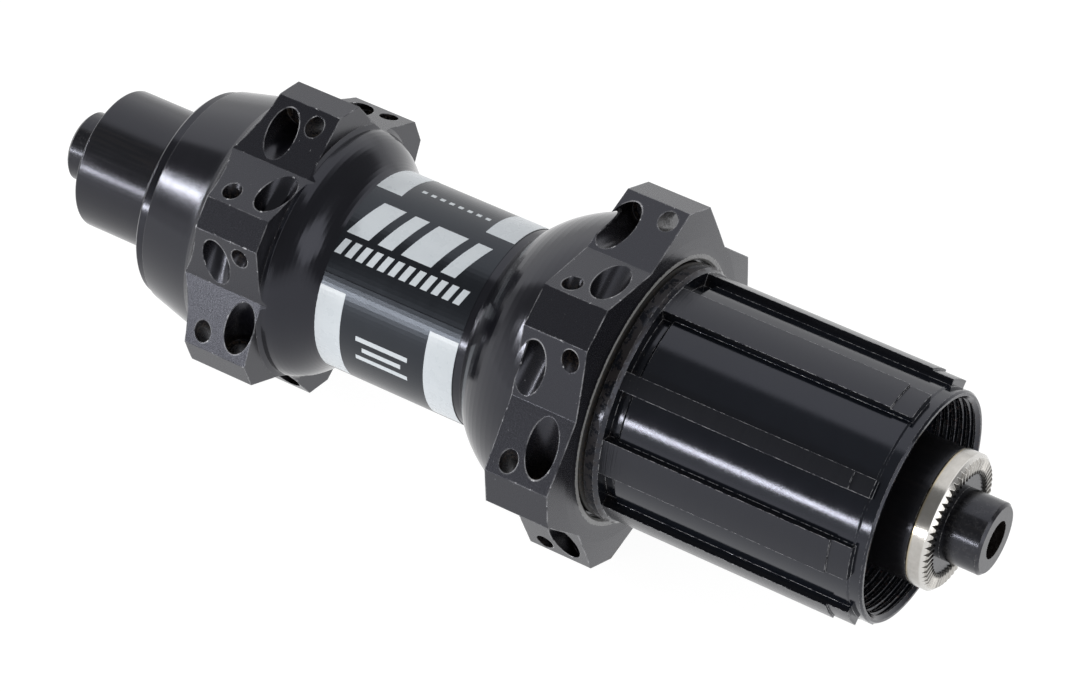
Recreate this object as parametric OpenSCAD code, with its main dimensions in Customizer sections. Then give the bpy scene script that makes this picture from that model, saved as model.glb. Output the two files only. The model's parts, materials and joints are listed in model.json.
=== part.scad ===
// Rear bicycle hub for straight-pull spokes, with a face-ratchet freehub for a 9-spline cassette.
// The pieces are drawn with the hub's axis along z and the drive side at +z, and the whole is
// then laid down: +Y is the non-drive side, +Z is up, the origin is halfway between the locknuts.

/* [Axle and end caps] */
// Over-locknut width, the distance between the dropouts
over_locknut = 130; // [110:0.5:160]
// Length of each axle end that sits in a dropout
stub_len = 5.1; // [4:0.1:5.5]
// Diameter of each axle end
stub_d = 9.86; // [9.5:0.01:9.95]
// Bore for the quick-release skewer
skewer_d = 5.2; // [5:0.1:6]
// Outer diameter of the axle tube
axle_d = 15; // [12:0.5:18]
// Wall of the axle tube
axle_wall = 1.45; // [1:0.05:2]
// Diameter of the left end cap
left_cap_d = 19.74; // [18:0.02:21]
// Diameter of the right end cap
right_cap_d = 18.3; // [17:0.1:20]
// How far each end cap's spigot reaches into the axle
spigot_len = 10; // [7:0.5:13]

/* [Locknut ring] */
// Diameter of the steel ring that bites the dropout
ring_d = 18.6; // [18:0.1:20.4]
// Diameter of the ring's bore
ring_bore_d = 13.6; // [13:0.1:14.5]
// Width of the steel ring
ring_w = 2.8; // [2:0.1:4]
// Number of V-shaped serrations on its face
ring_teeth = 56; // [36:1:72]
// Depth of a serration
ring_tooth_h = 0.5; // [0.2:0.05:0.8]
// Number of serrations on the left end cap's own face
left_teeth = 36; // [24:1:48]

/* [Hub shell] */
// Distance from the left locknut to the shell's left end
shell_inset = 13.2; // [11:0.1:16]
// Diameter of the tube between the flanges
tube_d = 27.9; // [23:0.1:34]
// Wall of the tube
tube_wall = 2.45; // [1.5:0.05:4]
// Wall around the left bearing at the shell's left end
barrel_wall = 1.7; // [1.2:0.1:3]
// Slope of the barrel, radius gained per unit of length
barrel_slope = 0.27; // [0.15:0.01:0.3]
// Gap between the shell and the freehub
freehub_gap = 0.55; // [0.4:0.05:1]

/* [Left flange] */
// Distance from the shell's left end to the flange
left_flange_in = 12.8; // [12:0.1:15]
// Metal between the left bearing and the valleys between the teeth
left_rim = 4.4; // [3.5:0.1:6]
// Height of the teeth above their valleys
left_tooth_h = 4.2; // [3.5:0.1:5.5]
// Metal beside the outer spoke heads
left_edge = 0.45; // [0.3:0.05:1.5]
// Half the angle of each blank top
left_blank_deg = 5.8; // [4:0.1:8]
// Angle of the first tooth
left_phase_deg = 76.7; // [0:0.1:120]

/* [Right flange] */
// Metal between the freehub's opening and the valleys between the teeth
right_rim = 3.15; // [2.5:0.05:5]
// Height of the teeth above their valleys
right_tooth_h = 4.05; // [3.5:0.05:5.5]
// Metal beside the outer spoke heads
right_edge = 0.3; // [0.3:0.05:1.5]
// Half the angle of each blank top
right_blank_deg = 6.6; // [4:0.1:8]
// Angle of the first tooth
right_phase_deg = 62.1; // [0:0.1:120]

/* [Spoke seats] */
// Number of teeth on each flange; each tooth seats two spokes
flange_teeth = 6; // [6:1:6]
// Diameter of a spoke hole
spoke_d = 2.5; // [2.3:0.1:2.8]
// Diameter of the counterbore for a spoke head
spoke_head_d = 4.2; // [3.4:0.1:5.1]
// How far the counterbore's floor lies from the middle of the tooth
spoke_seat = 0.8; // [0.5:0.1:1.2]
// Outward tilt of a spoke away from the tangent
spoke_tilt_deg = 10.4; // [6:0.1:12]
// Tilt of a spoke towards the rim's centre plane
spoke_brace_deg = 4; // [2:0.5:6]
// Distance between the two spokes of a tooth, along the axle
spoke_lane = 4.5; // [4.3:0.1:5.6]

/* [Freehub body] */
// Length of the freehub body
freehub_len = 39.4; // [32:0.1:48]
// Distance from the freehub's mouth to the locknut face
freehub_inset = 5.25; // [4.5:0.05:7]
// Diameter of the body between the ribs
body_d = 32; // [27:0.1:39]
// Height of the ribs
rib_h = 1.2; // [1:0.05:1.5]
// Angle that each rib covers
rib_deg = 17; // [14:0.5:19]
// Angle that the narrow rib covers
narrow_rib_deg = 8.3; // [7:0.1:10]
// Distance from the ribs' ends to the mouth
lip_len = 1.6; // [1.2:0.1:3]
// Height of the collar that stops the cassette
collar_h = 1.75; // [1.6:0.05:2]
// Width of the collar
collar_w = 1.6; // [1.2:0.1:2.2]
// Angle at which the narrow rib ends
rib_phase_deg = 136.6; // [0:0.1:180]
// Length of the lockring thread
thread_len = 6.5; // [5:0.1:7.5]
// Wall between the body's outside and the lockring thread
thread_wall = 1.25; // [1.1:0.05:1.6]
// Pitch of the lockring thread
thread_pitch = 1.06; // [0.9:0.01:1.2]

/* [Ratchet] */
// Teeth on each star ring's face
star_teeth = 36; // [36:18:54]
// Height of the face teeth at their inner end
star_tooth_h = 0.8; // [0.5:0.05:1]
// Thickness of a star ring
star_w = 7.6; // [6:0.1:9.2]
// Wall of the freehub body outside the star ring
star_wall = 1.9; // [1.5:0.05:2.5]
// Height of a star ring's splines
spline_h = 0.6; // [0.4:0.05:0.9]
// Metal between a star ring's splines and its bore
star_rim = 3; // [2:0.1:3.2]
// Splines around a star ring
star_splines = 20; // [16:2:24]
// Wall of the ring nut
nut_wall = 2.75; // [2:0.05:3.5]
// Wire of the ratchet springs
wire_d = 0.8; // [0.6:0.05:0.9]
// Axial travel of each star ring, from full mesh
star_travel = 1.2; // [1:0.1:1.4]

/* [Bearings] */
// Outer diameter of the left hub bearing
left_bearing_d = 26; // [24:0.5:31.5]
// Width of the left hub bearing
left_bearing_w = 7; // [5:0.5:8.5]
// Outer diameter of the right hub bearing
right_bearing_d = 28; // [24:0.5:29]
// Width of the right hub bearing
right_bearing_w = 7; // [5:0.5:8.5]
// Outer diameter of the two freehub bearings
free_bearing_d = 24; // [20:0.5:26]
// Width of the two freehub bearings
free_bearing_w = 5; // [4:0.5:6]

/* [Clearances] */
// Radial clearance of a running fit
run_gap = 0.03; // [0.02:0.01:0.06]
// Clearance between a ball and its races
ball_gap = 0.05; // [0.04:0.01:0.08]
// Clearance around the splines of the star rings
spline_gap = 0.12; // [0.08:0.01:0.2]
// Play between the meshed star rings
mesh_gap = 0.08; // [0.04:0.01:0.12]

/* [Hidden] */
$fn = 96;

half_w = over_locknut / 2;
body_r = body_d / 2;
axle_bore_d = axle_d - 2 * axle_wall;
star_d = body_d - 2 * star_wall;
star_root_d = star_d - 2 * spline_h;
star_bore_d = star_root_d - 2 * star_rim;
nut_d = star_d + 2 * nut_wall;
left_flange_w = spoke_lane + spoke_head_d + 2 * left_edge;
right_flange_w = spoke_lane + spoke_head_d + 2 * right_edge;
eps = 0.01;             // small run past a face so that cuts go right through
cut = 60;               // longer and wider than any piece

// Stations along the axle, from the non-drive side to the drive side
shell_left = -half_w + shell_inset;
left_out = shell_left + left_flange_in;
left_in = left_out + left_flange_w;
mouth = half_w - freehub_inset;
free_start = mouth - freehub_len;
shell_right = free_start - freehub_gap;
right_out = shell_right;
right_in = right_out - right_flange_w;
dome_len = 11;        // from the tube's end to the right flange
flank_len = 6.6;      // from the left flange to the tube's other end
tube_right = right_in - dome_len;
tube_left = left_in + flank_len;

left_depth = 2.8;                                   // of the left bearing below the shell's end
left_seat = shell_left + left_depth;                // left bearing's outer face
left_stop = left_seat + left_bearing_w;             // its inner face
mesh_z = shell_right + 0.05;                        // plane where the star rings meet
star_back = star_tooth_h / 2;                       // each ring stands back from mesh, coasting
spring_len = 2.05;                                  // a ratchet spring's length when squeezed
spring_room = star_travel + spring_len;             // space for the spring behind a star ring
washer_w = 0.8;                                     // more space behind the freehub's ring
right_seat = mesh_z - star_w - spring_room;         // right bearing's outer face
right_stop = right_seat - right_bearing_w;          // its inner face
nut_left = right_seat + 0.7;
nut_right = shell_right - 0.8;
nut_w = nut_right - nut_left;                       // length of the ring nut
inner_seat = mesh_z + star_w + spring_room + washer_w;  // inboard freehub bearing
inner_end = inner_seat + free_bearing_w;
lockring_room = 8.25;                               // depth of the mouth, for the lockring
outer_end = mouth - lockring_room;                  // outboard freehub bearing's outer face
outer_seat = outer_end - free_bearing_w;

race_bore_r = axle_d / 2 + run_gap;
axle_left = left_seat + 0.6;
axle_right = outer_end - 0.5;
sleeve_wall = 1.4;
sleeve_r = axle_d / 2 + sleeve_wall;                // spacers that touch the inner races
seat_lip = 1.1;                                     // shoulder beside each bearing seat

// ---- curves and outlines -------------------------------------------------------------------

// A point on a quadratic or cubic curve
function curve3(a, b, c, t) = a * (1 - t) * (1 - t) + 2 * b * t * (1 - t) + c * t * t;
function curve4(a, b, c, d, t) =
    a * pow(1 - t, 3) + 3 * b * t * pow(1 - t, 2) + 3 * c * t * t * (1 - t) + d * pow(t, 3);
function at(r, deg) = [r * cos(deg), r * sin(deg)];
function ball_d(d) = 0.29 * (d - axle_d);           // ball size that suits a bearing's section
function pitch_r(d) = (axle_d + d) / 4 + 0.05;      // radius of the ball circle

// Toothed outline of a flange: a blank top on each tooth and a valley between teeth
module flange_outline(tip_r, root_r, blank_deg, phase_deg) {
    pitch = 360 / flange_teeth;
    polygon([for (k = [0 : flange_teeth - 1], p = [0 : 2])
        p == 2 ? at(root_r, phase_deg + (k + 0.5) * pitch)
               : at(tip_r, phase_deg + k * pitch + (p == 0 ? -1 : 1) * blank_deg)]);
}

// How far a counterbore runs before its inner side leaves the flank between points a and b
function head_reach(mid_r, a, b) =
    let (n = [b.y - a.y, a.x - b.x],
         start = [mid_r, 0] - spoke_head_d / 2 * [cos(spoke_tilt_deg), sin(spoke_tilt_deg)])
    (a - start) * n / ([-sin(spoke_tilt_deg), cos(spoke_tilt_deg)] * n);

// One stepped hole: a counterbore for the head, then the spoke's own hole
module spoke_hole(mid_r, z, side, inward, reach) {
    translate([mid_r, 0, z])
        rotate([inward * side * spoke_brace_deg, 0, side * spoke_tilt_deg])
            rotate([-90 * side, 0, 0]) {
                translate([0, 0, -12]) cylinder(d = spoke_d, h = 24, $fn = 32);
                translate([0, 0, spoke_seat])
                    cylinder(d = spoke_head_d, h = reach - spoke_seat, $fn = 40);
            }
}

tooth_cover = 0.4;      // metal between a counterbore and the tooth's top

// The two crossing spokes of every tooth; outer_side is the side of the outboard head
module spoke_holes(tip_r, root_r, blank_deg, mid_z, phase_deg, outer_side, outboard) {
    mid_r = tip_r - spoke_head_d / 2 - tooth_cover;
    reach = head_reach(mid_r, at(tip_r, blank_deg), at(root_r, 180 / flange_teeth));
    for (k = [0 : flange_teeth - 1]) rotate([0, 0, phase_deg + k * 360 / flange_teeth]) {
        spoke_hole(mid_r, mid_z + outboard * spoke_lane / 2, outer_side, -outboard, reach);
        spoke_hole(mid_r, mid_z - outboard * spoke_lane / 2, -outer_side, -outboard, reach);
    }
}

module ring(r_in, r_out, z0, z1) {
    translate([0, 0, z0]) difference() {
        cylinder(r = r_out, h = z1 - z0);
        translate([0, 0, -eps]) cylinder(r = r_in, h = z1 - z0 + 2 * eps);
    }
}

// ---- hub shell -----------------------------------------------------------------------------

left_seat_r = left_bearing_d / 2;
right_seat_r = right_bearing_d / 2;
tube_r = tube_d / 2;
tube_bore_r = tube_r - tube_wall;
barrel_r = left_seat_r + barrel_wall;
mouth_wall = 1.15;                                  // beside the ring nut's thread
mouth_r = nut_d / 2 + mouth_wall;                   // opening around the freehub's seal
left_root_r = left_seat_r + left_rim;
left_tip_r = left_root_r + left_tooth_h;
right_root_r = mouth_r + right_rim;
right_tip_r = right_root_r + right_tooth_h;
ledge_w = 1.5;                                      // thickness of the ledge behind a bearing
core_r = axle_d / 2;                                // inside every bore of the shell

// Rounded left end of the barrel, running into its slope
barrel_end = [for (i = [0 : 6]) let (t = i / 6)
    [curve3(barrel_r - 1.2, barrel_r - 0.1, barrel_r + 1.5 * barrel_slope, t),
     curve3(shell_left, shell_left, shell_left + 1.5, t)]];
// Hollow sweep from the barrel up to the left flange's tips
barrel_sweep = [for (i = [0 : 8]) let (t = i / 8)
    [curve3(left_root_r - 0.1, left_root_r + 0.9, left_tip_r + 1, t),
     curve3(left_out - 2.6, left_out - 0.2, left_out + 0.1, t)]];
// Smooth flank from the left flange's valley down to the tube
left_flank = [for (i = [0 : 12]) let (t = i / 12)
    [curve4(left_root_r + 0.2, left_root_r - 0.2, tube_r + 0.6, tube_r, t),
     curve4(left_in + 0.3, left_in + 3.2, left_in + 4.2, tube_left, t)]];
// Domed flank from the tube up to the right flange
right_flank = [for (i = [0 : 12]) let (t = i / 12)
    [curve3(tube_r + 0.1, tube_r + 5, right_root_r - 0.2, t),
     curve3(tube_right + 0.1, tube_right + 3.7, right_in, t)]];

// Outer profile of the shell and its flanges, radius against z
shell_profile = concat(
    [[core_r, shell_left]],
    barrel_end,
    barrel_sweep,
    [[left_tip_r + 1, left_in],
     [left_root_r + 0.8, left_in]],
    left_flank,
    [[tube_r, tube_right]],
    right_flank,
    [[right_tip_r + 1, right_in],
     [right_tip_r + 1, right_out - 0.1],
     [right_root_r, right_out + 0.25],
     [mouth_r + 0.3, right_out + 0.3],
     [mouth_r, right_out],
     [core_r, right_out]]);

module hub_shell() color([0.09, 0.09, 0.1]) difference() {
    intersection() {
        rotate_extrude() polygon(shell_profile);
        union() {
            translate([0, 0, shell_left - 1]) cylinder(r = barrel_r, h = 4);
            translate([0, 0, shell_left + 2]) linear_extrude(left_in - shell_left)
                flange_outline(left_tip_r, left_root_r, left_blank_deg, left_phase_deg);
            translate([0, 0, left_in + 1]) cylinder(r = right_root_r, h = right_in - left_in - 1.5);
            translate([0, 0, right_in - 0.5]) linear_extrude(right_flange_w + 2)
                flange_outline(right_tip_r, right_root_r, right_blank_deg, right_phase_deg);
        }
    }
    translate([0, 0, shell_left - 1]) cylinder(r = left_seat_r, h = left_stop - shell_left + 1);
    translate([0, 0, left_stop - eps]) cylinder(r = left_seat_r - seat_lip, h = ledge_w + 1);
    translate([0, 0, left_stop + ledge_w])
        cylinder(r = tube_bore_r, h = right_stop - left_stop - 2 * ledge_w);
    translate([0, 0, right_stop - ledge_w - 1])
        cylinder(r = right_seat_r - seat_lip, h = ledge_w + 1 + eps);
    translate([0, 0, right_stop]) cylinder(r = right_seat_r, h = cut);
    translate([0, 0, nut_left - 0.2]) cylinder(d = nut_d + 0.04, h = cut);
    translate([0, 0, nut_right]) cylinder(r = mouth_r, h = cut);
    spoke_holes(left_tip_r, left_root_r, left_blank_deg,
                (left_out + left_in) / 2, left_phase_deg, 1, -1);
    spoke_holes(right_tip_r, right_root_r, right_blank_deg,
                (right_out + right_in) / 2, right_phase_deg, -1, 1);
}

// ---- axle and spacers ----------------------------------------------------------------------

module axle() color([0.7, 0.7, 0.72]) difference() {
    union() {
        translate([0, 0, axle_left]) cylinder(d = axle_d, h = axle_right - axle_left);
        translate([0, 0, left_stop]) cylinder(r = sleeve_r, h = right_stop - left_stop);
    }
    translate([0, 0, axle_left - 1]) cylinder(d = axle_bore_d, h = cut * 3);
}

module axle_sleeve() color([0.55, 0.56, 0.58])
    ring(race_bore_r, sleeve_r, right_seat, inner_seat - 0.05);

module freehub_sleeve() color([0.55, 0.56, 0.58])
    ring(race_bore_r, sleeve_r, inner_end, outer_seat);

// ---- bearings ------------------------------------------------------------------------------

race_open = 0.55;       // share of the ball's radius that the races leave between them
seal_w = 0.5;

module groove(d, w) rotate_extrude()
    translate([pitch_r(d), w / 2]) circle(r = ball_d(d) / 2 + ball_gap, $fn = 48);

module outer_race(d, w, z) color([0.72, 0.73, 0.75]) translate([0, 0, z]) difference() {
    ring(pitch_r(d) + race_open * ball_d(d) / 2, d / 2, 0, w);
    groove(d, w);
    for (s = [-eps, w - seal_w - 0.1]) translate([0, 0, s])
        cylinder(r = d / 2 - 1, h = seal_w + 0.1 + eps);
}

module inner_race(d, w, z) color([0.72, 0.73, 0.75]) translate([0, 0, z]) difference() {
    ring(race_bore_r, pitch_r(d) - race_open * ball_d(d) / 2, 0, w);
    groove(d, w);
}

function ball_count(d) = floor(2 * PI * pitch_r(d) / (ball_d(d) * 1.32));

module balls(d, w, z) color([0.8, 0.8, 0.82]) translate([0, 0, z + w / 2])
    for (i = [0 : ball_count(d) - 1]) rotate([0, 0, i * 360 / ball_count(d)])
        translate([pitch_r(d), 0, 0]) sphere(d = ball_d(d), $fn = 32);

module cage(d, w, z) color([0.62, 0.5, 0.25]) translate([0, 0, z + w / 2]) difference() {
    rotate_extrude() translate([pitch_r(d), 0])
        square([0.36 * ball_d(d), 0.9 * ball_d(d)], center = true);
    for (i = [0 : ball_count(d) - 1]) rotate([0, 0, i * 360 / ball_count(d)])
        translate([pitch_r(d), 0, 0]) sphere(d = ball_d(d) + 0.12, $fn = 32);
}

module seals(d, w, z) color([0.05, 0.05, 0.06]) for (s = [0.1, w - seal_w - 0.1])
    ring(pitch_r(d) - race_open * ball_d(d) / 2 + run_gap, d / 2 - 1, z + s, z + s + seal_w);

module left_bearing_outer_race() outer_race(left_bearing_d, left_bearing_w, left_seat);
module left_bearing_inner_race() inner_race(left_bearing_d, left_bearing_w, left_seat);
module left_bearing_balls() balls(left_bearing_d, left_bearing_w, left_seat);
module left_bearing_cage() cage(left_bearing_d, left_bearing_w, left_seat);
module left_bearing_seals() seals(left_bearing_d, left_bearing_w, left_seat);
module right_bearing_outer_race() outer_race(right_bearing_d, right_bearing_w, right_stop);
module right_bearing_inner_race() inner_race(right_bearing_d, right_bearing_w, right_stop);
module right_bearing_balls() balls(right_bearing_d, right_bearing_w, right_stop);
module right_bearing_cage() cage(right_bearing_d, right_bearing_w, right_stop);
module right_bearing_seals() seals(right_bearing_d, right_bearing_w, right_stop);
module inboard_freehub_outer_race() outer_race(free_bearing_d, free_bearing_w, inner_seat);
module inboard_freehub_inner_race() inner_race(free_bearing_d, free_bearing_w, inner_seat);
module inboard_freehub_balls() balls(free_bearing_d, free_bearing_w, inner_seat);
module inboard_freehub_cage() cage(free_bearing_d, free_bearing_w, inner_seat);
module inboard_freehub_seals() seals(free_bearing_d, free_bearing_w, inner_seat);
module outboard_freehub_outer_race() outer_race(free_bearing_d, free_bearing_w, outer_seat);
module outboard_freehub_inner_race() inner_race(free_bearing_d, free_bearing_w, outer_seat);
module outboard_freehub_balls() balls(free_bearing_d, free_bearing_w, outer_seat);
module outboard_freehub_cage() cage(free_bearing_d, free_bearing_w, outer_seat);
module outboard_freehub_seals() seals(free_bearing_d, free_bearing_w, outer_seat);

// ---- ratchet -------------------------------------------------------------------------------

// Outline of the splines; gap makes the matching socket
module star_outline(gap) {
    circle(d = star_root_d + 2 * gap);
    for (i = [0 : star_splines / 2 - 1]) rotate([0, 0, i * 360 / star_splines])
        square([star_d + 2 * gap, 2 + 2 * gap], center = true);
}

gullet_r = 5;           // the gullets start inside the star ring's bore
crest_cut = 0.06;       // the face teeth's sharp crests are ground off by this much
tooth_play_deg = 0.3;   // backlash between the meshed star rings

// Face tooth gullets: each is a sector below a plane that tilts about the next crest
module star_gullets(z) {
    pitch = 360 / star_teeth;
    tilt = atan(star_tooth_h / (star_bore_d / 2 * sin(pitch)));
    for (i = [0 : star_teeth - 1]) rotate([0, 0, i * pitch - tooth_play_deg / 2])
        translate([0, 0, z]) intersection() {
            translate([0, 0, -4]) linear_extrude(8)
                polygon([at(gullet_r, 0), at(star_d, 0),
                         at(star_d, 0.98 * pitch), at(gullet_r, 0.98 * pitch)]);
            rotate([0, 0, pitch]) rotate([tilt, 0, 0]) translate([-1, -star_d, 0])
                cube([star_d + 2, star_d, star_d]);
        }
}

// A star ring with its teeth at z = 0, pointing to +z
module star_ring() difference() {
    translate([0, 0, -star_w])
        linear_extrude(star_w + star_tooth_h / 2 - mesh_gap / 2 - crest_cut)
        difference() {
            star_outline(0);
            circle(d = star_bore_d);
        }
    star_gullets(star_tooth_h / 2 - mesh_gap / 2);
    rotate_extrude() polygon([[star_root_d / 2 - 0.4, star_tooth_h], [star_d, star_tooth_h],
                              [star_d, -1.4], [star_root_d / 2 - 0.4, -1.4]]);
}

module hub_star_ring() color([0.62, 0.6, 0.57]) translate([0, 0, mesh_z - star_back])
    star_ring();
module freehub_star_ring() color([0.62, 0.6, 0.57]) translate([0, 0, mesh_z + star_back])
    rotate([180, 0, 0]) star_ring();

module ring_nut() color([0.5, 0.5, 0.52]) difference() {
    translate([0, 0, nut_left]) linear_extrude(nut_w) difference() {
        circle(d = nut_d);
        star_outline(spline_gap);
    }
    for (z = [nut_left + 1 : 1.5 : nut_right - 1])
        rotate_extrude() translate([nut_d / 2, z]) rotate(45) square(0.5, center = true);
}

spring_r = star_root_d / 2 - 2.1;                   // where a spring bears on its star ring
hub_spring_r = right_bearing_d / 2 - 1.6;           // where it stands on the right bearing
freehub_spring_r = free_bearing_d / 2 - 0.7;        // and on the inboard freehub bearing

// Conical spring: the wire's section is carried along a widening helix
module cone_spring(r0, r1, len) {
    turns = 2.5;
    rings = 60;
    sides = 8;
    function spot(i, j) =
        let (t = i / rings, a = 360 * turns * t, b = 360 * j / sides,
             r = r0 + (r1 - r0) * t + wire_d / 2 * cos(b))
        [r * cos(a), r * sin(a), wire_d / 2 + (len - wire_d) * t + wire_d / 2 * sin(b)];
    polyhedron(
        [for (i = [0 : rings], j = [0 : sides - 1]) spot(i, j)],
        concat([[for (j = [0 : sides - 1]) j]],
               [for (i = [0 : rings - 1], j = [0 : sides - 1])
                   [i * sides + j, (i + 1) * sides + j,
                    (i + 1) * sides + (j + 1) % sides, i * sides + (j + 1) % sides]],
               [[for (j = [sides - 1 : -1 : 0]) rings * sides + j]]));
}

module hub_spring() color([0.75, 0.75, 0.76]) translate([0, 0, right_seat + 0.1])
    cone_spring(hub_spring_r, spring_r, spring_room - star_back - 0.15);
module freehub_spring() color([0.75, 0.75, 0.76]) translate([0, 0, inner_seat - 0.1])
    mirror([0, 0, 1]) cone_spring(freehub_spring_r, spring_r, spring_room + washer_w - star_back - 0.15);

// ---- freehub body --------------------------------------------------------------------------

rib_r = body_r + rib_h;
collar_r = body_r + collar_h;
thread_r = body_r - thread_wall;
free_seat_r = free_bearing_d / 2;
rib_start = free_start + collar_w;
rib_end = mouth - lip_len;
undercut_w = 2.2;       // relief beside the collar, where the ribs begin
rib_pitch = 40;

// Plan of one rib, a sector that ends at angle 0
module rib_plan(span_deg, r) intersection() {
    circle(r = r);
    polygon([[0, 0], 2 * r * [cos(span_deg), -sin(span_deg)],
             3 * r * [cos(span_deg / 2), -sin(span_deg / 2)], [2 * r, 0]]);
}

// One rib; its last stretch towards the mouth is slightly lower
module rib(span_deg) {
    step_w = 3;
    translate([0, 0, rib_start - 0.2]) linear_extrude(rib_end - rib_start + 0.2 - step_w)
        rib_plan(span_deg, rib_r);
    translate([0, 0, rib_end - step_w - 0.1]) linear_extrude(step_w + 0.1)
        rib_plan(span_deg, rib_r - 0.3);
}

thread_rings = floor(thread_len / thread_pitch);
thread_profile = concat(
    [[0, mouth + eps], [thread_r + 0.5, mouth + eps]],
    [for (i = [0 : thread_rings - 1], p = [0 : 3]) let (z = mouth - 0.5 - i * thread_pitch)
        [thread_r + (p == 1 || p == 2 ? 0.45 : 0), z - thread_pitch * [0, 0.3, 0.4, 0.7][p]]],
    [[thread_r, mouth - thread_len], [0, mouth - thread_len]]);

module freehub_body() color([0.1, 0.1, 0.11]) difference() {
    union() {
        rotate_extrude() polygon([
            [10, free_start], [collar_r - 0.3, free_start], [collar_r, free_start + 0.3],
            [collar_r, rib_start], [rib_r + 0.1, rib_start + 0.5],
            [body_r - 0.5, rib_start + 0.5], [body_r - 0.5, rib_start + undercut_w - 0.4],
            [body_r, rib_start + undercut_w], [body_r, rib_end - 0.4],
            [body_r - 0.15, rib_end - 0.1], [body_r - 0.15, mouth - 0.3],
            [body_r - 0.4, mouth], [10, mouth]]);
        for (k = [0 : 8]) rotate([0, 0, rib_phase_deg + k * rib_pitch])
            rib(k == 0 ? narrow_rib_deg : rib_deg);
    }
    translate([0, 0, free_start - 1]) cylinder(r = free_seat_r - seat_lip, h = cut);
    translate([0, 0, free_start - 1]) linear_extrude(inner_seat - free_start + 1)
        star_outline(spline_gap);
    translate([0, 0, inner_seat - 1]) cylinder(r = free_seat_r, h = free_bearing_w + 1);
    translate([0, 0, outer_seat]) cylinder(r = free_seat_r, h = cut);
    translate([0, 0, outer_end + 0.3]) cylinder(r = free_seat_r + 0.4, h = cut);
    rotate_extrude() polygon(thread_profile);
}

module freehub_seal() color([0.04, 0.04, 0.05]) rotate_extrude() polygon([
    [star_d / 2 + 1, free_start], [mouth_r - 1.2, free_start],
    [mouth_r - 0.35, free_start - 0.5], [mouth_r - 0.35, free_start - 0.8],
    [mouth_r - 1.4, free_start - 0.75], [star_d / 2 + 1, free_start - 0.6]]);

// ---- end caps ------------------------------------------------------------------------------

o_ring_d = 1.1;         // section of the O-rings that grip the axle's bore
nose_r = sleeve_r - 0.3;
spigot_r = axle_bore_d / 2 - run_gap;
stub_r = stub_d / 2;

// Everything that both end caps share, drawn with the locknut face at z = face
module cap_core(face, seat, cap_r, cap_end) difference() {
    rotate_extrude() polygon([
        [0, seat - spigot_len], [spigot_r - 0.4, seat - spigot_len],
        [spigot_r, seat - spigot_len + 0.4], [spigot_r, seat + 0.1],
        [nose_r, seat + 0.1], [nose_r, seat + 0.8], [cap_r, seat + 0.8],
        [cap_r, cap_end], [ring_bore_d / 2, cap_end],
        [ring_bore_d / 2, face - 0.35], [stub_r, face - 0.35],
        [stub_r, face + stub_len - 0.4], [stub_r - 0.4, face + stub_len],
        [0, face + stub_len]]);
    translate([0, 0, seat - spigot_len - 1]) cylinder(d = skewer_d, h = cut * 2, $fn = 48);
    rotate_extrude() translate([spigot_r, seat - spigot_len / 2])
        square([2 * o_ring_d + 0.1, o_ring_d + 0.3], center = true);
}

// Dust shield that covers a bearing
module shield(r, z) ring(nose_r - 1, r, z, z + 1);

// Radial V-shaped grooves across a locknut face
module serrations(count, face, r0, r1) {
    half_v = 0.37 * PI * (r0 + r1) / count;         // leaves a flat land between grooves
    for (i = [0 : count - 1]) rotate([0, 0, i * 360 / count])
        translate([r0, 0, face]) rotate([90, 0, 90]) linear_extrude(r1 - r0)
            polygon([[-half_v, eps], [half_v, eps], [0, -ring_tooth_h]]);
}

module right_end_cap() color([0.08, 0.08, 0.09]) {
    cap_core(half_w, outer_end, right_cap_d / 2, half_w - ring_w);
    shield(free_seat_r - 0.3, outer_end + 0.8);
}

module locknut_ring() color([0.78, 0.76, 0.72]) difference() {
    rotate_extrude() polygon([
        [ring_bore_d / 2, half_w - ring_w], [ring_d / 2 - 0.2, half_w - ring_w],
        [ring_d / 2, half_w - ring_w + 0.2], [ring_d / 2, half_w - ring_tooth_h - 0.15],
        [ring_d / 2 - 0.7, half_w], [ring_bore_d / 2, half_w]]);
    serrations(ring_teeth, half_w, ring_bore_d / 2 - 0.5, ring_d / 2 + 0.5);
}

// The left cap is one piece, with its serrations cut in its own face
module left_end_cap() color([0.08, 0.08, 0.09]) mirror([0, 0, 1]) {
    difference() {
        union() {
            cap_core(half_w, -left_seat, left_cap_d / 2, half_w - ring_w);
            ring(ring_bore_d / 2 - 0.5, left_cap_d / 2 - 0.4, half_w - ring_w - 0.1, half_w);
            ring(ring_bore_d / 2 - 0.5, left_cap_d / 2, half_w - ring_w - 0.1, half_w - 0.4);
            translate([0, 0, half_w - 0.4]) rotate_extrude()
                translate([left_cap_d / 2 - 0.4, 0]) intersection() {
                    circle(r = 0.4, $fn = 32);
                    square(0.4);
                }
        }
        serrations(left_teeth, half_w, ring_bore_d / 2 - 1, left_cap_d / 2 - 0.9);
    }
    shield(left_seat_r - 0.5, -left_seat + 0.8);
}

module o_ring(z) color([0.03, 0.03, 0.03]) rotate_extrude()
    translate([spigot_r + 0.01 - o_ring_d / 2, z]) circle(d = o_ring_d, $fn = 32);
module left_cap_o_ring() o_ring(left_seat + spigot_len / 2);
module right_cap_o_ring() o_ring(outer_end - spigot_len / 2);

// ---- the nodes, laid down with the axle along y -----------------------------------------------

module lay() rotate([90, 0, 0]) children();

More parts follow.
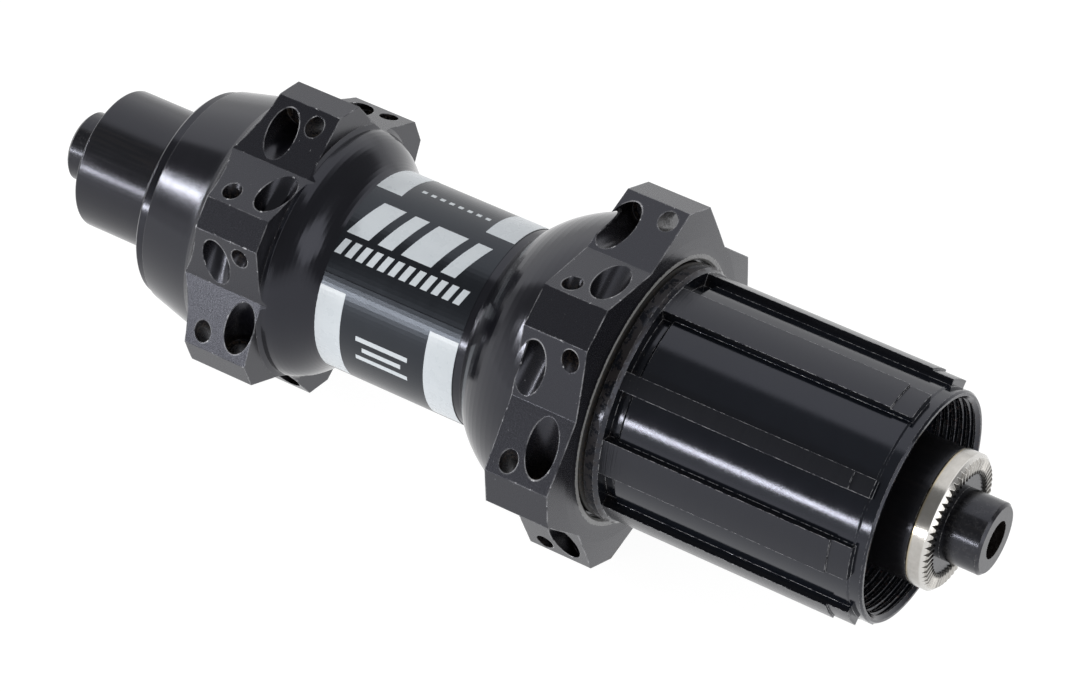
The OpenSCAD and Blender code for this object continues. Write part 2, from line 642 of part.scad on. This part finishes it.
lay() hub_shell();
lay() ring_nut();
lay() axle();
lay() axle_sleeve();
lay() freehub_sleeve();
lay() left_bearing_outer_race();
lay() left_bearing_inner_race();
lay() left_bearing_balls();
lay() left_bearing_cage();
lay() left_bearing_seals();
lay() right_bearing_outer_race();
lay() right_bearing_inner_race();
lay() right_bearing_balls();
lay() right_bearing_cage();
lay() right_bearing_seals();
lay() inboard_freehub_outer_race();
lay() inboard_freehub_inner_race();
lay() inboard_freehub_balls();
lay() inboard_freehub_cage();
lay() inboard_freehub_seals();
lay() outboard_freehub_outer_race();
lay() outboard_freehub_inner_race();
lay() outboard_freehub_balls();
lay() outboard_freehub_cage();
lay() outboard_freehub_seals();
lay() hub_star_ring();
lay() freehub_star_ring();
lay() hub_spring();
lay() freehub_spring();
lay() freehub_body();
lay() freehub_seal();
lay() left_end_cap();
lay() left_cap_o_ring();
lay() right_end_cap();
lay() right_cap_o_ring();
lay() locknut_ring();
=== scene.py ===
"""Looks for the straight-pull rear hub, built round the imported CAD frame."""
import json
import math

import bpy
from mathutils import Matrix, Vector


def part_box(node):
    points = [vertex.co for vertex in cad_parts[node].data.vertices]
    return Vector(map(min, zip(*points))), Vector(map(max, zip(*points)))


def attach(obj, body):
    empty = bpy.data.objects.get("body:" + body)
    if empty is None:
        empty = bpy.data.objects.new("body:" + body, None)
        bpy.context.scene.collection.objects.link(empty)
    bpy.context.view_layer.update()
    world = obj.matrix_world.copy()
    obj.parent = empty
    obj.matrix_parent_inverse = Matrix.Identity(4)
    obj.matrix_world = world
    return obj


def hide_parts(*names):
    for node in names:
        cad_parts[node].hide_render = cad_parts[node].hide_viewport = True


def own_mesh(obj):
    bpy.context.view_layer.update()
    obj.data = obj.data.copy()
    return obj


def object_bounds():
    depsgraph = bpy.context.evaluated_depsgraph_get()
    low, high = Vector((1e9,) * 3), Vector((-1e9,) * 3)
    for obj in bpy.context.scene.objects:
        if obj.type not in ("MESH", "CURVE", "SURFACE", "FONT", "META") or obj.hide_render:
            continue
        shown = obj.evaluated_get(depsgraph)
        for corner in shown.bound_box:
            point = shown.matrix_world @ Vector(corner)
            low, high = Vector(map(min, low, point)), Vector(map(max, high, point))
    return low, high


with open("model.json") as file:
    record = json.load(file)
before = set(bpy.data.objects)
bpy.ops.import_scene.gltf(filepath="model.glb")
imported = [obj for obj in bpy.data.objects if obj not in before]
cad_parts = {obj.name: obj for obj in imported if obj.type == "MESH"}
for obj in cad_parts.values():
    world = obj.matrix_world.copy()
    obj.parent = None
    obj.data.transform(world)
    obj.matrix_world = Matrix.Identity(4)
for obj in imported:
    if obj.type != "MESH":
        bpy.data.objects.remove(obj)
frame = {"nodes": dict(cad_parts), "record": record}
nodes = frame["nodes"]
cad_box = [list(corner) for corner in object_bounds()]
scene = bpy.context.scene
MM = 0.001


# ---- shader helpers --------------------------------------------------------------------------

class Graph:
    """Short names for building a node tree."""

    def __init__(self, tree):
        self.tree = tree

    def node(self, kind, **settings):
        made = self.tree.nodes.new(kind)
        for key, value in settings.items():
            setattr(made, key, value)
        return made

    def link(self, value, socket):
        """Joins a socket to this one, or sets a plain value on it."""
        if isinstance(value, bpy.types.NodeSocket):
            self.tree.links.new(value, socket)
        else:
            socket.default_value = value

    def math(self, operation, *values):
        made = self.node("ShaderNodeMath", operation=operation)
        for value, socket in zip(values, made.inputs):
            self.link(value, socket)
        return made.outputs[0]

    def step(self, value, low, high, to_low=0.0, to_high=1.0):
        """Smooth step of value from low to high."""
        made = self.node("ShaderNodeMapRange", interpolation_type="SMOOTHSTEP")
        for key, v in (("Value", value), ("From Min", low), ("From Max", high),
                       ("To Min", to_low), ("To Max", to_high)):
            self.link(v, made.inputs[key])
        return made.outputs[0]


class Surface(Graph):
    """One Principled material, with short names for the nodes that drive it.
    The hub's axis is the y axis, so patterns use the radius, the angle and y, all in mm."""

    def __init__(self, name, metallic=0.0, specular=0.5, tint=(1.0, 1.0, 1.0)):
        self.mat = bpy.data.materials.new(name)
        self.mat.use_nodes = True
        super().__init__(self.mat.node_tree)
        self.tree.nodes.clear()
        self.shader = self.tree.nodes.new("ShaderNodeBsdfPrincipled")
        out = self.tree.nodes.new("ShaderNodeOutputMaterial")
        self.tree.links.new(self.shader.outputs[0], out.inputs["Surface"])
        self.shader.inputs["Metallic"].default_value = metallic
        self.shader.inputs["Specular IOR Level"].default_value = specular
        self.shader.inputs["Specular Tint"].default_value = (*tint, 1.0)
        coords = self.tree.nodes.new("ShaderNodeTexCoord")
        scale = self.node("ShaderNodeVectorMath", operation="SCALE")
        self.link(coords.outputs["Object"], scale.inputs[0])
        scale.inputs["Scale"].default_value = 1000.0
        self.place = scale.outputs[0]
        split = self.node("ShaderNodeSeparateXYZ")
        self.link(self.place, split.inputs[0])
        self.x, self.y, self.z = split.outputs
        self.radius = self.math("SQRT", self.math("ADD", self.math("MULTIPLY", self.x, self.x),
                                                  self.math("MULTIPLY", self.z, self.z)))
        self.angle = self.math("ARCTAN2", self.z, self.x)
        self.bends = {}

    def times(self, *values):
        out = values[0]
        for value in values[1:]:
            out = self.math("MULTIPLY", out, value)
        return out

    def band(self, value, low, high, soft=0.05):
        """1 between low and high."""
        return self.times(self.step(value, low - soft, low),
                          self.step(value, high, high + soft, 1.0, 0.0))

    def vector(self, x, y, z):
        made = self.node("ShaderNodeCombineXYZ")
        for value, socket in zip((x, y, z), made.inputs):
            self.link(value, socket)
        return made.outputs[0]

    def noise(self, scale, detail=3.0, roughness=0.55, at=None):
        made = self.node("ShaderNodeTexNoise")
        self.link(at if at is not None else self.place, made.inputs["Vector"])
        made.inputs["Scale"].default_value = scale
        made.inputs["Detail"].default_value = detail
        made.inputs["Roughness"].default_value = roughness
        return made.outputs["Fac"]

    def mix(self, share, a, b):
        made = self.node("ShaderNodeMix", data_type="RGBA")
        self.link(share, made.inputs[0])
        for value, socket in ((a, made.inputs[6]), (b, made.inputs[7])):
            self.link(value if isinstance(value, bpy.types.NodeSocket) else (*value, 1.0), socket)
        return made.outputs[2]

    def blend(self, share, a, b):
        made = self.node("ShaderNodeMix", data_type="FLOAT")
        self.link(share, made.inputs[0])
        self.link(a, made.inputs[2])
        self.link(b, made.inputs[3])
        return made.outputs[0]

    def rounded(self, width):
        """The normal with every edge rounded off by width mm."""
        made = self.node("ShaderNodeBevel", samples=6)
        made.inputs["Radius"].default_value = width * MM
        return made.outputs[0]

    def edges(self, width, flat=0.995, bent=0.86):
        """1 on edges, 0 on open faces: flat and bent are cosines of the bend there."""
        if width not in self.bends:
            face = self.node("ShaderNodeNewGeometry").outputs["Normal"]
            dot = self.node("ShaderNodeVectorMath", operation="DOT_PRODUCT")
            self.link(self.rounded(width), dot.inputs[0])
            self.link(face, dot.inputs[1])
            self.bends[width] = dot.outputs["Value"]
        return self.step(self.bends[width], flat, bent)

    def hollows(self, reach):
        """1 deep in holes and corners, 0 in the open."""
        made = self.node("ShaderNodeAmbientOcclusion", samples=6)
        made.inputs["Distance"].default_value = reach * MM
        return self.math("SUBTRACT", 1.0, made.outputs["AO"])

    def around(self, stretch, per_mm):
        """Coordinates for turning marks: drawn out along the circumference."""
        return self.vector(self.times(self.math("COSINE", self.angle), stretch),
                           self.times(self.y, per_mm),
                           self.times(self.math("SINE", self.angle), stretch))

    def finish(self, colour, roughness, height=None, height_mm=0.01, round_mm=0.12):
        """Wires the shader up; height is a bump of height_mm, and edges are rounded by round_mm."""
        self.link(colour if isinstance(colour, bpy.types.NodeSocket) else (*colour, 1.0),
                  self.shader.inputs["Base Color"])
        self.link(roughness, self.shader.inputs["Roughness"])
        normal = self.rounded(round_mm) if round_mm else None
        if height is not None:
            bump = self.node("ShaderNodeBump")
            bump.inputs["Strength"].default_value = 1.0
            bump.inputs["Distance"].default_value = height_mm * MM
            self.link(height, bump.inputs["Height"])
            if normal is not None:
                self.link(normal, bump.inputs["Normal"])
            normal = bump.outputs[0]
        if normal is not None:
            self.link(normal, self.shader.inputs["Normal"])
        return self.mat


# ---- materials -------------------------------------------------------------------------------

DIRT = (0.12, 0.085, 0.055)
GREASE = (0.014, 0.010, 0.007)
RUST = (0.07, 0.028, 0.014)
BARE = (0.62, 0.62, 0.64)
DYE = (0.84, 0.86, 1.0)             # the faint blue of black anodising

# Where the finishes change, in mm: radii from the axis, and depths from a piece's own end
RIGHT_FLANGE_DEPTH, RIGHT_FLANGE_R = 10.1, 19.2
LEFT_FLANGE_DEPTH, LEFT_FLANGE_R = 22.6, 17.0
MOUTH_R = (18.25, 19.2)             # the bare ring round the shell's drive-side mouth
MOUTH_DEPTH = 1.4
RIB_R = 16.35                       # the foot of the freehub's ribs
THREAD_R = 15.45                    # the wall of the freehub's mouth
COLLAR_LEN = 2.2
STUB_Y, STUB_R = 64.9, 5.2          # where the axle stub begins, and its radius
SKEWER_R = 2.9
RING_LAND_R = 7.5                   # the locknut ring's serrations lie outside this
RING_BEVEL_R = 8.75


def box_mm(name):
    """A node's lowest and highest corner in mm."""
    low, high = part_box(name)
    return [v * 1000 for v in low], [v * 1000 for v in high]


def shell_finish():
    """Black anodised shell: glossy turned flanks, satin milled flange faces, dirt in the spoke
    holes, nicks down to the metal on the convex edges, and bare lines along the edges that are
    partly wear and partly painted edge highlight."""
    m = Surface("anodised_shell_black", specular=0.5, tint=DYE)
    low, high = box_mm("hub_shell")
    right_end, left_end = low[1] + RIGHT_FLANGE_DEPTH, high[1] - LEFT_FLANGE_DEPTH
    right_flange = m.times(m.step(m.y, right_end, right_end - 0.9),
                           m.step(m.radius, RIGHT_FLANGE_R, RIGHT_FLANGE_R + 0.6))
    left_flange = m.times(m.step(m.y, left_end, left_end + 0.4),
                          m.step(m.radius, LEFT_FLANGE_R, LEFT_FLANGE_R + 0.5))
    milled = m.math("MAXIMUM", right_flange, left_flange)
    cloud = m.noise(0.35, 4.0)
    grain = m.noise(6.0, 4.0, 0.7)
    turned = m.noise(1.0, 3.0, 0.6, at=m.around(1.5, 9.0))
    colour = m.mix(cloud, (0.003, 0.003, 0.0042), (0.005, 0.005, 0.007))
    satin = m.mix(grain, (0.005, 0.005, 0.0068), (0.012, 0.012, 0.0145))
    colour = m.mix(milled, colour, satin)
    rough = m.blend(milled, m.blend(cloud, 0.11, 0.19), m.blend(grain, 0.2, 0.33))
    deep = m.step(m.hollows(2.2), 0.18, 0.6)
    flecks = m.step(m.noise(2.2, 5.0, 0.7), 0.45, 0.58)
    dirt = m.times(deep, flecks, milled)
    colour = m.mix(m.times(dirt, 0.8), colour, DIRT)
    rough = m.blend(dirt, rough, 0.75)
    chips = m.times(m.edges(0.3, 0.997, 0.96), m.step(m.noise(1.2, 5.0, 0.7), 0.6, 0.64), milled)
    # Bare-metal lines along the milled edges: partly scuffs, partly a painted highlight along the
    # edges
    scuffs_and_edge_highlight = m.times(m.edges(0.3, 0.985, 0.9), m.step(m.noise(0.45, 3.0), 0.35, 0.65), milled, 0.5)
    specks = m.times(m.step(m.noise(3.2, 3.0, 0.6), 0.735, 0.765), milled, 0.5)
    worn = m.math("MAXIMUM", m.math("MAXIMUM", chips, scuffs_and_edge_highlight), specks)
    ragged = m.math("ADD", m.radius, m.times(m.noise(3.0, 4.0, 0.7), 0.7))
    mouth = m.times(m.band(ragged, *MOUTH_R, 0.08),
                    m.step(m.y, low[1] + MOUTH_DEPTH, low[1] + MOUTH_DEPTH - 0.5))
    rubbed = m.mix(m.noise(4.0, 4.0, 0.7), (0.05, 0.05, 0.05), (0.42, 0.42, 0.41))
    colour = m.mix(m.times(mouth, 0.95), colour, rubbed)
    # Bare metal from the nicks, the specks and the scuff lines, the scuff lines partly a painted
    # edge highlight
    colour = m.mix(worn, colour, BARE)
    rough = m.blend(m.math("MAXIMUM", worn, mouth), rough, 0.4)
    passes = m.vector(m.times(m.x, 0.3), m.times(m.y, 9.0), m.times(m.z, 0.3))
    cutter = m.noise(1.0, 2.0, 0.5, at=passes)
    height = m.math("ADD", m.times(m.math("ADD", grain, m.times(cutter, 0.8)), milled),
                    m.times(turned, 0.3))
    return m.finish(colour, rough, height, 0.006, 0.16)


def freehub_finish():
    """Black freehub: chattered satin ribs, polished valleys, grease by the collar, rust in the
    thread, and bare flecks on the edges that are partly wear and partly painted edge highlight."""
    m = Surface("anodised_freehub_black", specular=0.5, tint=DYE)
    low, high = box_mm("freehub_body")
    along = m.math("SUBTRACT", m.y, low[1])             # distance from the mouth
    length = high[1] - low[1]
    rib = m.times(m.step(m.radius, RIB_R, RIB_R + 0.25),
                  m.step(along, length - COLLAR_LEN + 0.3, length - COLLAR_LEN - 0.1))
    inside = m.step(m.radius, THREAD_R, THREAD_R - 0.15)
    cloud = m.noise(0.3, 4.0)
    chatter = m.noise(1.0, 2.0, 0.5, at=m.around(2.0, 6.5))
    fine = m.noise(1.0, 2.0, 0.5, at=m.around(4.0, 26.0))
    colour = m.mix(cloud, (0.0028, 0.0036, 0.0055), (0.005, 0.0062, 0.009))
    colour = m.mix(rib, colour, m.mix(chatter, (0.003, 0.0034, 0.0046), (0.0075, 0.008, 0.0095)))
    rough = m.blend(rib, m.blend(cloud, 0.07, 0.14), m.blend(fine, 0.17, 0.3))
    corner = m.step(m.hollows(1.6), 0.3, 0.75)
    near_collar = m.step(along, length - 6.0, length - 1.4)
    grease = m.times(near_collar, corner, m.step(m.noise(1.3, 5.0, 0.65), 0.42, 0.58))
    collar = m.step(along, length - COLLAR_LEN, length - COLLAR_LEN + 0.5)
    smear = m.times(collar, m.step(m.noise(0.8, 5.0, 0.65), 0.44, 0.54))
    grease = m.math("MAXIMUM", grease, smear)
    colour = m.mix(m.times(grease, 0.8), colour, GREASE)
    rough = m.blend(grease, rough, 0.5)
    grit = m.times(near_collar, m.step(m.noise(4.2, 3.0, 0.6), 0.68, 0.73))
    colour = m.mix(m.times(grit, 0.5), colour, (0.3, 0.27, 0.22))
    rust = m.times(inside, m.step(m.noise(1.6, 5.0, 0.7), 0.56, 0.68))
    colour = m.mix(m.times(rust, 0.8), colour, RUST)
    rough = m.blend(rust, rough, 0.8)
    dust = m.times(m.step(m.noise(5.0, 3.0, 0.6), 0.72, 0.77), inside)
    colour = m.mix(m.times(dust, 0.6), colour, (0.2, 0.19, 0.17))
    edge = m.edges(0.14)
    # Bare flecks on the rib and collar edges: partly real chips, partly a painted highlight along
    # the rib edges
    chips = m.times(edge, m.step(m.noise(1.4, 5.0, 0.7), 0.44, 0.56))
    colour = m.mix(m.times(chips, 0.85), colour, (0.45, 0.45, 0.46))
    height = m.math("ADD", m.times(chatter, rib, 2.2), m.times(fine, 0.3))
    return m.finish(colour, rough, height, 0.009, 0.12)


def cap_finish():
    """Black end cap with turning marks and faint lengthwise streaks, worn on its edges."""
    m = Surface("anodised_cap_black", specular=0.5, tint=DYE)
    cloud = m.noise(0.4, 4.0)
    turned = m.noise(1.0, 3.0, 0.6, at=m.around(0.8, 14.0))
    lengthwise = m.vector(m.times(m.x, 2.4), m.times(m.y, 0.1), m.times(m.z, 2.4))
    drawn = m.noise(1.0, 3.0, 0.5, at=lengthwise)
    colour = m.mix(cloud, (0.0035, 0.0035, 0.0042), (0.0068, 0.0068, 0.0078))
    colour = m.mix(m.step(drawn, 0.5, 0.75), colour, (0.009, 0.0078, 0.0074))
    rough = m.math("ADD", m.blend(turned, 0.06, 0.14),
                   m.blend(m.step(drawn, 0.35, 0.65), 0.07, 0.13))
    stub = m.times(m.step(m.math("ABSOLUTE", m.y), STUB_Y, STUB_Y + 0.2),
                   m.step(m.radius, STUB_R, STUB_R - 0.2))
    grey = m.times(stub, m.step(m.noise(1.3, 5.0, 0.65), 0.45, 0.7))
    colour = m.mix(m.times(grey, 0.16), colour, (0.12, 0.12, 0.12))
    edge = m.edges(0.12)
    worn = m.times(edge, m.step(m.noise(1.8, 4.0, 0.7), 0.47, 0.6))
    bore = m.step(m.radius, SKEWER_R, SKEWER_R - 0.2)
    colour = m.mix(m.times(worn, 0.7), colour, (0.4, 0.39, 0.37))
    colour = m.mix(m.times(bore, 0.4), colour, GREASE)
    return m.finish(colour, rough, turned, 0.004, 0.1)


def steel_finish(name, colour, tint, rough=0.3, marks=12.0, stains=0.0):
    """Turned steel with circular marks, soft stains and fine scratches."""
    m = Surface(name, metallic=1.0)
    turned = m.noise(1.0, 3.0, 0.6, at=m.around(1.2, marks))
    cloud = m.noise(0.7, 4.0, 0.6)
    base = m.mix(cloud, colour, tint)
    if stains:
        brown = m.times(m.step(m.noise(1.2, 5.0, 0.65), 0.5, 0.68), m.hollows(0.8), stains)
        base = m.mix(brown, base, (0.25, 0.16, 0.07))
    roughness = m.blend(turned, rough - 0.08, rough + 0.12)
    return m.finish(base, roughness, turned, 0.004, 0.08)


def ring_finish():
    """Locknut ring: warm bright steel, oily stains in the serrations, and a painted highlight on
    its front bevel.
    """
    m = Surface("locknut_steel", metallic=1.0)
    low, high = box_mm("locknut_ring")
    cloud = m.noise(0.9, 4.0, 0.6)
    turned = m.noise(1.0, 3.0, 0.6, at=m.around(1.0, 10.0))
    base = m.mix(cloud, (0.36, 0.345, 0.32), (0.52, 0.505, 0.48))
    back = m.step(m.y, high[1] - 0.55, high[1] - 0.15)
    base = m.mix(m.times(back, 0.7), base, (0.40, 0.31, 0.14))
    # Painted highlight: the outer band of the front bevel is made lighter steel
    bevel_highlight = m.times(m.step(m.radius, RING_BEVEL_R, RING_BEVEL_R + 0.2),
                    m.step(m.y, low[1] + 0.9, low[1] + 0.6))
    base = m.mix(m.times(bevel_highlight, 0.6), base, (0.7, 0.69, 0.67))
    stain = m.times(m.step(m.hollows(0.6), 0.2, 0.7), m.step(m.noise(1.1, 4.0, 0.6), 0.36, 0.6))
    base = m.mix(m.times(stain, 0.8), base, (0.1, 0.07, 0.04))
    base = m.mix(m.step(m.radius, RING_LAND_R, RING_LAND_R - 0.4), base, (0.06, 0.058, 0.055))
    rough = m.blend(turned, 0.12, 0.26)
    return m.finish(base, m.blend(stain, rough, 0.6), turned, 0.004, 0.08)


def rubber_finish():
    """Matt black rubber, dusty in its corners."""
    m = Surface("black_rubber", specular=0.4)
    dust = m.noise(1.6, 5.0, 0.65)
    colour = m.mix(dust, (0.012, 0.012, 0.013), (0.04, 0.038, 0.036))
    dry = m.times(m.hollows(1.0), m.step(m.noise(2.5, 4.0), 0.5, 0.62))
    colour = m.mix(m.times(dry, 0.5), colour, DIRT)
    return m.finish(colour, m.blend(dust, 0.5, 0.72), m.noise(9.0, 4.0), 0.006, 0.08)


finishes = {
    "anodised_shell": shell_finish(),
    "anodised_freehub": freehub_finish(),
    "anodised_cap": cap_finish(),
    "axle_alloy": steel_finish("turned_alloy", (0.6, 0.61, 0.63), (0.7, 0.71, 0.73), 0.34),
    "spacer_alloy": steel_finish("spacer_alloy_grey", (0.42, 0.43, 0.45), (0.52, 0.53, 0.55), 0.4),
    "ratchet_steel": steel_finish("ratchet_steel_grey", (0.36, 0.34, 0.31), (0.5, 0.48, 0.45),
                                  0.36, 8.0, 0.8),
    "nut_steel": steel_finish("nut_steel_grey", (0.34, 0.34, 0.35), (0.46, 0.46, 0.48),
                              0.38, 10.0, 0.5),
    "race_steel": steel_finish("ground_steel", (0.6, 0.61, 0.63), (0.7, 0.71, 0.73), 0.2, 20.0),
    "ball_steel": steel_finish("polished_steel", (0.72, 0.72, 0.74), (0.8, 0.8, 0.82), 0.12, 4.0),
    "cage_brass": steel_finish("pressed_brass", (0.55, 0.4, 0.16), (0.66, 0.5, 0.24),
                               0.32, 6.0, 0.4),
    "spring_steel": steel_finish("spring_wire", (0.5, 0.5, 0.52), (0.64, 0.64, 0.66), 0.26, 6.0),
    "seal_rubber": rubber_finish(),
    "ring_steel": ring_finish(),
}
for part in frame["record"]["subparts"]:
    for material_slot in nodes[part["node"]].material_slots:
        material_slot.material = finishes[part["material_slot"]]


# ---- springs copied from the CAD, riding their bodies ----------------------------------------

def springy(node, body):
    """A copy of the spring in the CAD's own shape, riding on its body in place of the hidden CAD
    node."""
    wire = bpy.data.objects.new(node + "_wire", nodes[node].data.copy())
    scene.collection.objects.link(wire)
    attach(wire, body)
    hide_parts(node)
    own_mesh(wire)


springy("hub_spring", "hub_shell")
springy("freehub_spring", "freehub")


# ---- printed sleeve on the tube --------------------------------------------------------------

TUBE_R = 13.95          # mm, the tube it is wrapped round
FILM_T = 0.05           # thickness of the film
INK_T = 0.02            # thickness of the ink on it


def film_finish():
    """Glossy black film with faint streaks and dust."""
    m = Surface("sleeve_gloss_black", specular=0.5, tint=(0.78, 0.86, 1.0))
    cloud = m.noise(0.5, 5.0, 0.65)
    streak = m.noise(1.0, 3.0, 0.5, at=m.around(3.0, 0.5))
    colour = m.mix(cloud, (0.0035, 0.004, 0.0052), (0.006, 0.0066, 0.0085))
    speck = m.step(m.noise(4.5, 3.0, 0.6), 0.73, 0.78)
    colour = m.mix(m.times(speck, 0.25), colour, (0.1, 0.1, 0.1))
    rough = m.math("ADD", m.blend(cloud, 0.2, 0.26), m.times(streak, 0.04))
    return m.finish(colour, rough, streak, 0.0006, 0.0)


def print_finish():
    """Pale blue-grey ink with small pits."""
    m = Surface("sleeve_ink_pale", specular=0.5)
    cloud = m.noise(0.4, 4.0, 0.6)
    pits = m.step(m.noise(5.0, 3.0, 0.6), 0.66, 0.72)
    colour = m.mix(cloud, (0.50, 0.54, 0.575), (0.585, 0.62, 0.65))
    colour = m.mix(m.times(pits, 0.2), colour, (0.35, 0.35, 0.36))
    return m.finish(colour, m.blend(cloud, 0.22, 0.34), None, 0.0, 0.0)


def on_tube(s, degrees, radius):
    """A point of the tube in the row frame: s runs to the drive side, degrees round the axle."""
    a = math.radians(degrees)
    return Vector((radius * math.cos(a), -s, radius * math.sin(a))) * MM


def wrap(name, outlines, radius, thickness, material):
    """Thin curved plates on the tube, one for each outline of four (s, degrees) corners."""
    verts, faces = [], []
    for corners in outlines:
        a, b, c, d = corners            # a-b and d-c run along the axle
        steps = max(2, int(abs(d[1] - a[1]) / 2.5) + 1)
        layers = []
        for r in (radius, radius + thickness):
            rows = []
            for i in range(steps + 1):
                t = i / steps
                rows.append([len(verts), len(verts) + 1])
                for p, q in ((a, d), (b, c)):
                    verts.append(on_tube(p[0] + (q[0] - p[0]) * t, p[1] + (q[1] - p[1]) * t, r))
            layers.append(rows)
        low, top = layers
        for i in range(steps):
            faces += [(top[i][0], top[i][1], top[i + 1][1], top[i + 1][0]),
                      (low[i][1], low[i][0], low[i + 1][0], low[i + 1][1]),
                      (low[i][0], top[i][0], top[i + 1][0], low[i + 1][0]),
                      (top[i][1], low[i][1], low[i + 1][1], top[i + 1][1])]
        faces += [(low[0][0], low[0][1], top[0][1], top[0][0]),
                  (low[-1][1], low[-1][0], top[-1][0], top[-1][1])]
    mesh = bpy.data.meshes.new(name)
    mesh.from_pydata(verts, [], faces)
    mesh.update()
    mesh.materials.append(material)
    obj = bpy.data.objects.new(name, mesh)
    scene.collection.objects.link(obj)
    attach(obj, "hub_shell")
    return obj


def block(s0, s1, a0, a1):
    """The corners of a plate from s0 to s1 along the axle and a0 to a1 degrees round it."""
    return (s0, a0), (s1, a0), (s1, a1), (s0, a1)


def slant(s0, s1, a0, a1, lean):
    """A block whose far edge is shifted along the axle."""
    return (s0 + lean, a0), (s1 + lean, a0), (s1, a1), (s0, a1)


FILM_LEFT, FILM_RIGHT = -23.5, -1.6     # its ends along the axle
SEAM = 142.0                            # degrees, where its ends meet
film = wrap("sleeve_film", [block(FILM_LEFT, FILM_RIGHT, SEAM + 0.5, SEAM + 360.0)],
            TUBE_R, FILM_T, film_finish())

ink = print_finish()
marks = []
for first, last in ((43.0, 84.6), (149.5, 213.0), (275.0, 330.0)):
    marks += [block(FILM_LEFT + 0.1, -19.1, first, last),
              block(-6.1, FILM_RIGHT - 0.1, first, last)]
wrap("sleeve_blocks", marks, TUBE_R + FILM_T, INK_T, ink)

# Plain bars and dashes are the band's print
wide_bars = ((-22.4, 3.4), (-17.6, 2.2), (-14.0, 4.6), (-7.9, 2.2))
bars = [slant(s, s + width, 94.0, 118.5, 2.2) for s, width in wide_bars]
bars += [slant(-22.8 + 1.66 * i, -21.8 + 1.66 * i, 122.0, 131.0, 0.7) for i in range(12)]
bars += [block(-17.6 + 1.4 * i, -16.9 + 1.4 * i, 72.0, 74.5) for i in range(8)]
bars += [slant(-16.6, -8.6, 170.5, 173.5, 0.0), slant(-15.6, -9.6, 177.0, 180.0, 0.0),
         slant(-16.6, -8.6, 183.5, 186.5, 0.0)]
wrap("sleeve_bars", bars, TUBE_R + FILM_T, INK_T, ink)


# ---- floor, light and camera -----------------------------------------------------------------

def floor():
    """A pale floor that glows a little, so that hardly a shadow shows on it."""
    m = Surface("studio_floor", specular=0.2)
    grey = m.mix(m.noise(0.01), (0.12, 0.12, 0.12), (0.14, 0.14, 0.14))
    mat = m.finish(grey, 0.9, None, 0.0, 0.0)
    m.shader.inputs["Emission Color"].default_value = (1.0, 1.0, 1.0, 1.0)
    m.shader.inputs["Emission Strength"].default_value = 0.95
    low = Vector(cad_box[0]).z - 0.0002
    size = 3.0
    mesh = bpy.data.meshes.new("floor")
    corners = ((-size, -size), (size, -size), (size, size), (-size, size))
    mesh.from_pydata([(x, y, low) for x, y in corners], [], [(0, 1, 2, 3)])
    mesh.materials.append(mat)
    obj = bpy.data.objects.new("floor", mesh)
    scene.collection.objects.link(obj)


def softbox(name, place, size, power, along=None):
    """A rectangular lamp that faces the origin; along is the direction of its long side."""
    light = bpy.data.lights.new(name, "AREA")
    light.shape = "RECTANGLE"
    light.size, light.size_y = size
    light.energy = power
    obj = bpy.data.objects.new(name, light)
    obj.location = place
    back = Vector(place).normalized()
    side = Vector(along) if along else Vector((0.0, 0.0, 1.0)).cross(back)
    side = (side - side.dot(back) * back).normalized()
    obj.rotation_euler = Matrix((side, back.cross(side), back)).transposed().to_euler()
    scene.collection.objects.link(obj)


floor()
softbox("strip", (-0.845, 0.36, 0.19), (0.42, 0.042), 2.4, (0.106, 0.285, -0.01))
softbox("left_strip", (-0.48, 0.70, 0.31), (0.6, 0.03), 3.5, (0.47, 0.26, 0.20))
softbox("drive_side", (-0.2, -1.2, 0.4), (1.2, 0.9), 5.5)

# The studio: a bright wall beyond the hub and overhead, a bright horizon, dark behind the camera
world = bpy.data.worlds.new("studio")
world.use_nodes = True
sky = Graph(world.node_tree)
axes = sky.node("ShaderNodeSeparateXYZ")
sky.link(sky.node("ShaderNodeTexCoord").outputs["Generated"], axes.inputs[0])
east, north, up = axes.outputs
slope = sky.math("MULTIPLY", sky.math("SUBTRACT", north, 0.39), 0.34)     # the wall stands askew
beyond = sky.math("SUBTRACT", east, slope)
wall = sky.math("MULTIPLY", sky.step(beyond, -0.05, 0.05), sky.step(north, -0.45, -0.15))
above = sky.step(wall, 0.0, 1.0, 0.27, 1.3)
background = sky.tree.nodes["Background"]
sky.link(sky.step(up, 0.05, 0.3, 1.0, above), background.inputs["Strength"])
background.inputs["Color"].default_value = (1.0, 1.0, 1.0, 1.0)
scene.world = world
scene.view_settings.view_transform = "Standard"

camera = bpy.data.cameras.new("camera")
camera.sensor_width = 36.0
camera.lens = 147.45
camera.clip_start, camera.clip_end = 0.01, 20.0
eye = bpy.data.objects.new("camera", camera)
eye.location = (-0.3524, -0.2242, 0.3998)
aim = Vector((-0.000377, -0.003233, -0.000332)) - eye.location
eye.rotation_euler = aim.to_track_quat("-Z", "Y").to_euler()
scene.collection.objects.link(eye)
scene.camera = eye
